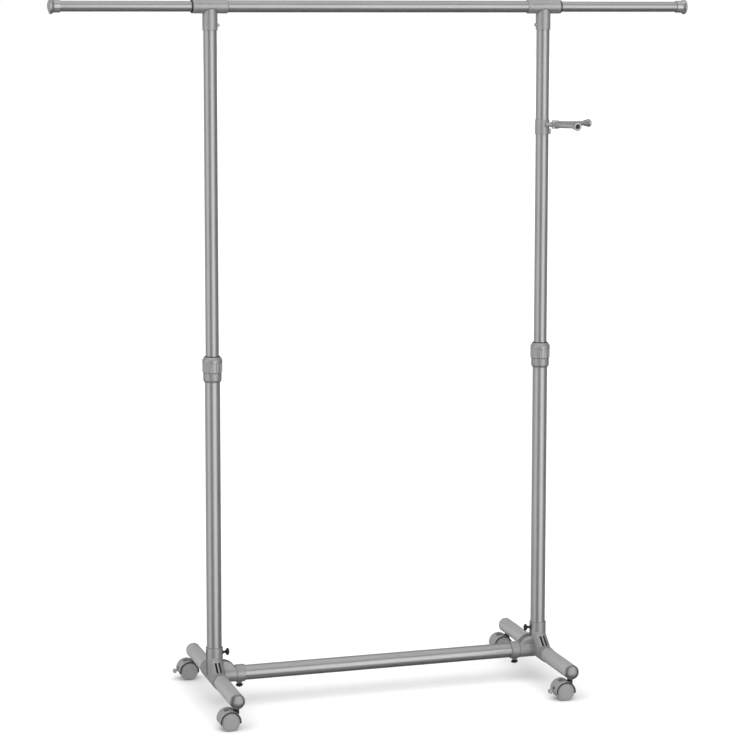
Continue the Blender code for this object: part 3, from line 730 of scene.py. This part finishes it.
def collar(label, side):
    node = f"lock_collar_{label}"
    low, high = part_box(node)
    height, radius = high.z - low.z, (high.x - low.x) / 2
    outline = rounded([(radius, height), (radius, 0.0042), (LOWER_R + 0.0011, 0),
                       (BORE_R, 0), (BORE_R, height)], 0.0007)
    stand_for(turned(node, outline, (side * POST_X, 0, low.z)), node)


# ---- Upper frame ----
def tee_mesh():
    """Sleeve on the rail with an arched socket for the post, about their crossing."""
    half, drop = extent("tee_right", 0) / 2, RAIL_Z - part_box("tee_right")[0].z
    edge = TEE_R - TEE_CHAMFER
    body = turned("tee", [(0, half), (edge, half), (TEE_R, half - TEE_CHAMFER),
                          (TEE_R, TEE_CHAMFER - half), (edge, -half), (0, -half)],
                  (0, 0, 0), X_AXIS)
    groove = arch_solid(TEE_GROOVE)
    combine(groove, [rod("core", TEE_R - TEE_GROOVE, -half, half, (0, 0, 0), X_AXIS, BORE_SIDES)],
            "DIFFERENCE")
    combine(body, [groove], "DIFFERENCE")
    socket = rod("socket", TEE_SOCKET_R, -drop, 0.002)
    combine(socket, [arch_solid(0)], "INTERSECT")
    combine(body, [socket], "UNION")
    combine(body, [rod("rail_bore", RAIL_R + GAP, -THROUGH, THROUGH, (0, 0, 0), X_AXIS,
                       BORE_SIDES),
                   rod("post_bore", UPPER_R + GAP, -0.07, -TEE_SEAT, sides=BORE_SIDES)],
            "DIFFERENCE")
    mould(body, VOXEL * 0.5, 3, 0.12)
    return take_mesh(body)


def arch_solid(more):
    """A post-wide block with a round top, right through the tee from front to back."""
    arch = rod("arch", TEE_SOCKET_R + 0.0001 + more, -THROUGH, THROUGH, -ARCH_DROP * Z_AXIS,
               Y_AXIS)
    width = 2 * (TEE_SOCKET_R + 0.0007 + more)
    combine(arch, [block("legs", (width, *LEGS_SIZE), -(ARCH_DROP + LEGS_DROP) * Z_AXIS)],
            "UNION")
    return arch


def tees():
    mesh = tee_mesh()
    for label, side in SIDES.items():
        place = Matrix.Translation((side * POST_X, 0, RAIL_Z))
        stand_for(new_object("tee", mesh.copy(), place), f"tee_{label}")


def rail_end(label, side):
    """Flared cap with a stepped, domed face."""
    node = f"rail_cap_{label}"
    low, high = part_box(node)
    length, radius = high.x - low.x, (high.z - low.z) / 2
    root = Vector((low.x if side > 0 else high.x, 0, RAIL_Z))
    bore = EXTENSION_R + GAP
    shoulder = length - 0.0100
    outline = rounded([
        (0, length), (radius * 0.42, length - 0.0003), (radius * 0.62, length - 0.0013),
        (radius * 0.68, length - 0.0022), (radius * 0.86, length - 0.0030),
        (radius, length - 0.0050), (radius, length - 0.0066), (radius * 0.90, length - 0.0094),
        (0.0131, length - 0.0125), (0.0129, 0.0016), (0.0129, 0), (bore, 0), (bore, shoulder),
        (0, shoulder)], 0.0010)
    stand_for(turned(node, outline, root, side * X_AXIS), node)


def bush(label, side):
    node = f"rail_bush_{label}"
    low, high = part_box(node)
    length, radius = high.x - low.x, (high.z - low.z) / 2
    root = Vector((low.x if side > 0 else high.x, 0, RAIL_Z))
    bore = EXTENSION_R + GAP
    outline = rounded([(radius, length), (radius, length - 0.0015), (RAIL_R - GAP, length - 0.0015),
                       (RAIL_R - GAP, 0), (bore, 0), (bore, length)], 0.0004)
    stand_for(turned(node, outline, root, side * X_AXIS), node)


def button(label, side):
    node = f"snap_button_{label}"
    low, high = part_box(node)
    length, radius = high.x - low.x, (high.z - low.z) / 2
    root = Vector((high.x if side > 0 else low.x, 0, (low.z + high.z) / 2))
    dome = [(radius * math.sin(a), length - radius * 0.8 * (1 - math.cos(a)))
            for a in [math.radians(step) for step in range(10, 91, 10)]]
    stand_for(turned(node, [(0, length)] + dome + [(radius, 0), (0, 0)], root, -side * X_AXIS, 48),
              node)


# ---- Hook ----
def clamp(hub):
    """Split sleeve on the post, with the barrel that the pegs' hub turns in."""
    low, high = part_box("hook_clamp")
    height = high.z - low.z
    post = Vector((POST_X, 0, 0))
    sleeve = turned("clamp", rounded([(CLAMP_R, height), (CLAMP_R, 0), (UPPER_R + GAP, 0),
                                      (UPPER_R + GAP, height)], 0.0012), post + low.z * Z_AXIS)
    barrel = turned("barrel", rounded([(0, 0.0168), (0.0052, 0.0168), (0.0052, 0.0022),
                                       (0.0036, 0.0008), (0, 0.0008)], 0.0008),
                    (POST_X, hub.y, hub.z), X_AXIS, 64)
    lug = turned("lug", rounded([(0, 0.0120), (0.0030, 0.0120), (0.0030, 0), (0, 0)], 0.0008),
                 post + Vector((*LUG_OFFSET, low.z + GAP)), Z_AXIS, 48)
    combine(sleeve, [barrel, lug], "UNION")
    seams = [block("seam", (0.0008, 0.0012, 0.1),
                   post + Vector((CLAMP_R * math.cos(a), CLAMP_R * math.sin(a), hub.z)))
             for a in map(math.radians, CLAMP_SPLITS)]
    combine(sleeve, [rod("bore", UPPER_R + GAP, *CLAMP_BORES, post),
                     rod("hub_space", HUB_SPACE_R, *CLAMP_BORES, (hub.x, hub.y, 0)), *seams],
            "DIFFERENCE")
    mould(sleeve, VOXEL * 0.7, 3, 0.4)
    stand_for(sleeve, "hook_clamp")


def peg(node, angle, hub):
    """One bare peg. The cap on its tip, a node of its own, is made here too."""
    out = Vector((math.cos(math.radians(angle)), math.sin(math.radians(angle)), 0))
    tip = PEG_LENGTH
    bare = turned("peg", [(0, tip - 0.0033), (0.0050, tip - 0.0033), (0.0050, 0.076),
                          (0.0058, 0.052), (0.0067, 0.028), (0.0076, 0.006), (0, 0.002)],
                  hub, out, 64)
    outline = rounded([
        (0, tip - 0.0016), (0.0048, tip - 0.0014), (0.0058, tip - 0.0002),
        (0.0080, tip), (0.0090, tip - 0.0012), (0.0088, tip - 0.0026), (0.0077, tip - 0.0054),
        (0.0070, tip - 0.0110), (0.0068, tip - 0.0150), (0.0053, tip - 0.0150),
        (0.0053, tip - 0.0030), (0, tip - 0.0030)], 0.0006)
    stand_for(turned(node, outline, hub, out, 64), node)
    core = rounded([(0, tip - 0.0010), (0.0046, tip - 0.0010), (0.0046, tip - 0.0017),
                    (0, tip - 0.0017)], 0.0003)
    detail(turned("cap_core", core, hub, out, 48), node.replace("hook_cap", "peg_core"),
           "hook", "black_plastic")
    return bare


def hook():
    """The clamp, and two capped pegs on one hub."""
    low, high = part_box("hook_pegs")
    hub = Vector((POST_X + HUB_OFFSET[0], HUB_OFFSET[1], (low.z + high.z) / 2))
    clamp(hub)
    half = (high.z - low.z) / 2
    pegs = turned("pegs", rounded([(0, half), (PEG_HUB_R, half), (PEG_HUB_R, -half), (0, -half)],
                                  0.0012), hub, Z_AXIS, 64)
    combine(pegs, [peg(node, angle, hub) for node, angle in PEG_ANGLES.items()], "UNION")
    mould(pegs, VOXEL * 0.8, 3, 0.4)
    stand_for(pegs, "hook_pegs", drawn=False)


# ---- Casters ----
def hood(braked):
    """Half shell over both wheels with a web between them and a boss for the stem."""
    wheel = WHEEL_CENTRE
    inner = HOOD_R - HOOD_WALL
    shell = turned("hood", rounded([
        (0, WEB_HALF), (inner, WEB_HALF), (inner, HOOD_HALF), (HOOD_R, HOOD_HALF),
        (HOOD_R, -HOOD_HALF), (inner, -HOOD_HALF), (inner, -WEB_HALF), (0, -WEB_HALF)], 0.0004),
        wheel, Y_AXIS, 128)
    skirt = WHEEL_R - HOOD_SKIRT
    combine(shell, [block("under", UNDER_SIZE, (0, 0, skirt - UNDER_DROP))], "DIFFERENCE")
    stem_boss = rod("boss", BOSS_R, BOSS_FOOT, BOSS_TOP)
    combine(stem_boss, [rod("space", inner + GAP, WEB_HALF - GAP, 0.03, wheel, face * Y_AXIS)
                        for face in (-1, 1)], "DIFFERENCE")
    combine(shell, [stem_boss], "UNION")
    deep, proud = HOOD_R - PANEL_DEPTH, HOOD_R + PAST
    panel = turned("panel", [(deep, PANEL_HALF), (proud, PANEL_HALF), (proud, -PANEL_HALF),
                             (deep, -PANEL_HALF)], wheel, Y_AXIS, 128)
    angle = math.radians(PANEL_ANGLE)
    facing = Vector((math.cos(angle), 0, math.sin(angle)))
    width = 2 * HOOD_R * math.sin(math.radians(PANEL_SPAN))
    combine(panel, [block("window", (width, 0.05, 0.03), wheel + HOOD_R * facing, facing)],
            "INTERSECT")
    cutters = [panel,
               rod("axle_hole", HOLE_R, -PAST, PAST, wheel, Y_AXIS, 32),
               rod("stem_hole", SEAT_R, *STEM_SEAT, (0, 0, 0), Z_AXIS, 32)]
    if braked:
        cutters += [rod("lever_seat", SEAT_R, -PAST, PAST, wheel - LEVER_X * X_AXIS, Y_AXIS, 32),
                    block("notch", NOTCH_SIZE, wheel - NOTCH_X * X_AXIS)]
    combine(shell, cutters, "DIFFERENCE")
    smooth(shell.data)
    return take_mesh(shell)


def paint_hood(mesh):
    """Black boss, its second finish, and a dark recessed panel, its third."""
    wheel = WHEEL_CENTRE
    for face in mesh.polygons:
        centre = face.center
        out = Vector((centre.x - wheel.x, centre.z - wheel.z))
        if math.hypot(centre.x, centre.y) < BOSS_R + GAP and centre.z > BOSS_FOOT:
            face.material_index = 1
        elif (abs(centre.y) < PANEL_HALF
              and abs(out.length - HOOD_R + PANEL_DEPTH) < PANEL_DEPTH / 2
              and abs(math.degrees(math.atan2(out.y, out.x)) - PANEL_ANGLE) < PANEL_SPAN):
            face.material_index = 2


def rim_shade_arc():
    """Black lip round the open face of the hood: painted shade on the rim and in the gap to the
    wheel.
    """
    inner, outer = SHADE_LIP_RADII
    shade_lip = turned("shade_lip", rounded([(outer, SHADE_LIP_HALF), (outer, SHADE_LIP_BACK), (inner, SHADE_LIP_BACK),
                                (inner, SHADE_LIP_HALF)], 0.0002), WHEEL_CENTRE, -Y_AXIS, 128)
    skirt = WHEEL_R - SHADE_LIP_SKIRT
    combine(shade_lip, [block("under", UNDER_SIZE, (0, 0, skirt - UNDER_DROP))], "DIFFERENCE")
    smooth(shade_lip.data)
    return take_mesh(shade_lip)


def wheel_mesh(node, out):
    """Disc with a shallow dished face and a soft tread."""
    centre = middle(node)
    near, far = -extent(node, 1) / 2, extent(node, 1) / 2
    outline = rounded([
        (0, far - 0.0001), (0.0040, far - 0.0002), (0.0165, far - 0.0006), (0.0170, far - 0.0012),
        (0.0174, far - 0.0012), (0.0178, far - 0.0003), (0.0188, far - 0.0003),
        (WHEEL_R, far - 0.0016), (WHEEL_R, near + 0.0010),
        (WHEEL_R - 0.0010, near), (HOLE_R, near), (HOLE_R, near + 0.0108), (0, near + 0.0108)],
        0.0005)
    stand_for(turned(node, outline, centre, out), node)


def caster(end, label, hoods, shade_lips):
    name = f"{end}_{label}"
    stem = middle(f"caster_stem_{name}")
    place = Vector((stem.x, stem.y, 0))
    shell = new_object("hood", hoods[(end, label) in BRAKED].copy(), Matrix.Translation(place))
    stand_for(shell, f"caster_hood_{name}", also=("black_plastic", "hood_panel"))
    paint_hood(shell.data)
    # black lips of painted shade round the hood's open faces
    for face, shade_lip in shade_lips.items():
        arc = new_object("shade_lip", shade_lip.copy(), Matrix.Translation(place))
        detail(arc, f"hood_shade_lip_{face}_{name}", f"caster_{name}", "black_plastic")
    low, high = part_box(f"caster_stem_{name}")
    collar_top = FOOT_Z - LOWER_R - GAP
    outline = rounded([
        (0, high.z), (STEM_R, high.z), (STEM_R, collar_top), (STEM_COLLAR_R, collar_top),
        (STEM_COLLAR_R, STEM_COLLAR_FOOT), (STEM_R, STEM_COLLAR_FOOT), (STEM_R, low.z),
        (0, low.z)], 0.0004)
    stand_for(turned("stem", outline, place, Z_AXIS, 48), f"caster_stem_{name}")
    axle = f"caster_axle_{name}"
    half = extent(axle, 1) / 2
    stand_for(turned(axle, rounded([(0, half), (AXLE_R, half), (AXLE_R, -half), (0, -half)],
                                   0.0005), middle(axle), Y_AXIS, 48), axle)
    wheel_mesh(f"wheel_front_of_{name}", -Y_AXIS)
    wheel_mesh(f"wheel_rear_of_{name}", Y_AXIS)
    if (end, label) in BRAKED:
        brake(f"brake_lever_{name}")


def brake(node):
    """Lever on a hub, with a ridged pad at its free end."""
    low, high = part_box(node)
    centre = (low + high) / 2
    hub_x = high.x - LEVER_R
    hub = rod("lever", LEVER_R, -LEVER_HALF, LEVER_HALF, (hub_x, centre.y, WHEEL_R), Y_AXIS, 48)
    arm = block("arm", (hub_x - low.x, *ARM_SIZE),
                ((hub_x + low.x) / 2, centre.y, WHEEL_R))
    size = Vector((*PAD_SIZE, high.z - low.z - 0.0010))
    pad = block("pad", size, (low.x + size.x / 2, centre.y, low.z + size.z / 2))
    pad_top = low.z + size.z
    ridges = [rod("ridge", RIDGE_R, -0.0046, 0.0046,
                  (low.x + 0.0010 + step * RIDGE_PITCH, centre.y, pad_top), Y_AXIS, 24)
              for step in range(3)]
    combine(hub, [arm, pad, *ridges], "UNION")
    mould(hub, VOXEL * 0.5, 5, 0.4)
    stand_for(hub, node)


def all_casters():
    hoods = {braked: hood(braked) for braked in (False, True)}
    shade_lip = rim_shade_arc()
    shade_lips = {"front": shade_lip, "rear": mirrored(shade_lip, Y_AXIS)}
    for end, label in PLACES:
        caster(end, label, hoods, shade_lips)


# ---- Studio ----
CAMERA_PLACE = (-1.4893, -4.7997, 1.4851)
CAMERA_TURN = (83.368, -0.067, -17.180)     # degrees
CAMERA_LENS = 115.14
CAMERA_SHIFT = (-0.0132, -0.12)


def camera():
    data = bpy.data.cameras.new("camera")
    data.lens = CAMERA_LENS
    data.shift_x, data.shift_y = CAMERA_SHIFT
    obj = bpy.data.objects.new("camera", data)
    obj.location = CAMERA_PLACE
    obj.rotation_euler = [math.radians(angle) for angle in CAMERA_TURN]
    bpy.context.scene.collection.objects.link(obj)
    bpy.context.scene.camera = obj


# Soft boxes round the object: azimuth in degrees from +X, sharpness, strength.
SOFT_BOXES = ((-70, 9.0, 1.15), (-168, 9.0, 0.75), (130, 5.0, 0.25))
BOX_GLOW = 0.55             # a box's soft glow
BOX_MIDDLE = 0.50           # its brighter middle
BOX_EDGE = (0.84, 0.92)     # cosines between which the middle fades in
BOX_TOP = (0.30, 0.62)      # height over which the boxes fade out
ROOM_LIGHT = 0.22
CEILING = 0.55
CEILING_EDGE = (0.55, 0.90)
GROUND_EDGE = (-0.62, -0.30)
GROUND_LIGHT = 0.15         # the part of the light that is left below the horizon
SUN_STRENGTH = 2.4
SUN_SPREAD = 120            # degrees
FLOOR_LEVEL = 0.93


class Nodes:
    """Node arithmetic in one tree: a number or a socket goes into each slot."""

    def __init__(self, tree):
        self.tree = tree

    def put(self, node, values):
        for socket, value in zip(node.inputs, values):
            if isinstance(value, bpy.types.NodeSocket):
                self.tree.links.new(value, socket)
            elif value is not None:
                socket.default_value = value
        return node

    def math(self, operation, *values):
        node = self.tree.nodes.new("ShaderNodeMath")
        node.operation = operation
        return self.put(node, values).outputs[0]

    def vector(self, operation, *values):
        node = self.tree.nodes.new("ShaderNodeVectorMath")
        node.operation = operation
        node = self.put(node, values)
        return node.outputs["Value" if operation == "DOT_PRODUCT" else "Vector"]

    def ramp(self, value, low, high):
        """0 below low and 1 above high, eased between them."""
        node = self.tree.nodes.new("ShaderNodeMapRange")
        node.interpolation_type = "SMOOTHSTEP"
        return self.put(node, (value, low, high, 0.0, 1.0)).outputs["Result"]


def environment():
    """Light from tall soft boxes, a bright ceiling and a dark floor, and white behind it all."""
    world = bpy.data.worlds.new("studio")
    bpy.context.scene.world = world
    world.use_nodes = True
    tree = world.node_tree
    nodes = Nodes(tree)
    direction = tree.nodes.new("ShaderNodeTexCoord").outputs["Generated"]
    parts = tree.nodes.new("ShaderNodeSeparateXYZ")
    tree.links.new(direction, parts.inputs[0])
    height = parts.outputs["Z"]
    level = nodes.vector("NORMALIZE", nodes.vector("MULTIPLY", direction, (1, 1, 0)))
    boxes = 0.0
    for azimuth, sharpness, strength in SOFT_BOXES:
        angle = math.radians(azimuth)
        facing = nodes.vector("DOT_PRODUCT", level, (math.cos(angle), math.sin(angle), 0))
        lobe = nodes.math("POWER", nodes.math("MAXIMUM", facing, 0.0), sharpness)
        lobe = nodes.math("ADD", nodes.math("MULTIPLY", lobe, BOX_GLOW),
                          nodes.math("MULTIPLY", nodes.ramp(facing, *BOX_EDGE), BOX_MIDDLE))
        boxes = nodes.math("ADD", nodes.math("MULTIPLY", lobe, strength), boxes)
    above = nodes.ramp(height, *GROUND_EDGE)
    below = nodes.math("SUBTRACT", 1.0, nodes.ramp(height, *BOX_TOP))
    light = nodes.math("MULTIPLY", boxes, below)
    light = nodes.math("ADD", light, ROOM_LIGHT)
    ceiling = nodes.math("MULTIPLY", nodes.ramp(height, *CEILING_EDGE), CEILING)
    light = nodes.math("ADD", light, ceiling)
    ground = nodes.math("MULTIPLY", above, 1 - GROUND_LIGHT)
    light = nodes.math("MULTIPLY", light, nodes.math("ADD", ground, GROUND_LIGHT))
    background = tree.nodes["Background"]
    tree.links.new(light, background.inputs["Color"])
    white = tree.nodes.new("ShaderNodeBackground")
    white.inputs["Color"].default_value = (1, 1, 1, 1)
    mix = tree.nodes.new("ShaderNodeMixShader")
    tree.links.new(tree.nodes.new("ShaderNodeLightPath").outputs["Is Camera Ray"], mix.inputs[0])
    tree.links.new(background.outputs[0], mix.inputs[1])
    tree.links.new(white.outputs[0], mix.inputs[2])
    tree.links.new(mix.outputs[0], tree.nodes["World Output"].inputs["Surface"])


def studio():
    """Floor, a broad soft sun and the environment."""
    mesh = bpy.data.meshes.new("floor")
    work = bmesh.new()
    bmesh.ops.create_grid(work, x_segments=1, y_segments=1, size=60.0)
    work.to_mesh(mesh)
    work.free()
    floor = new_object("floor", mesh)
    shade = Shade("floor", 0.9)
    shade.shader.inputs["Base Color"].default_value = (*[FLOOR_LEVEL] * 3, 1)
    shade.shader.inputs["Specular IOR Level"].default_value = 0.0
    mesh.materials.append(shade.material)
    floor.visible_glossy = False
    data = bpy.data.lights.new("sky", "SUN")
    data.energy = SUN_STRENGTH
    data.angle = math.radians(SUN_SPREAD)
    sky = bpy.data.objects.new("sky", data)
    sky.matrix_world = toward((0, 0, 3), (-0.25, -0.35, 1.0))
    sky.visible_glossy = False
    bpy.context.scene.collection.objects.link(sky)
    environment()
    bpy.context.scene.view_settings.view_transform = "Standard"


all_tubes()
corners()
tees()
for label, side in SIDES.items():
    knob(f"post_knob_{label}", -side * X_AXIS)
    knob(f"bar_knob_{label}", -Z_AXIS)
    nut(label, side)
    collar(label, side)
    rail_end(label, side)
    bush(label, side)
    button(label, side)
for end, label in PLACES:
    foot_cap(f"foot_cap_{end}_{label}", ENDS[end] * Y_AXIS)
hook()
all_casters()
studio()
camera()
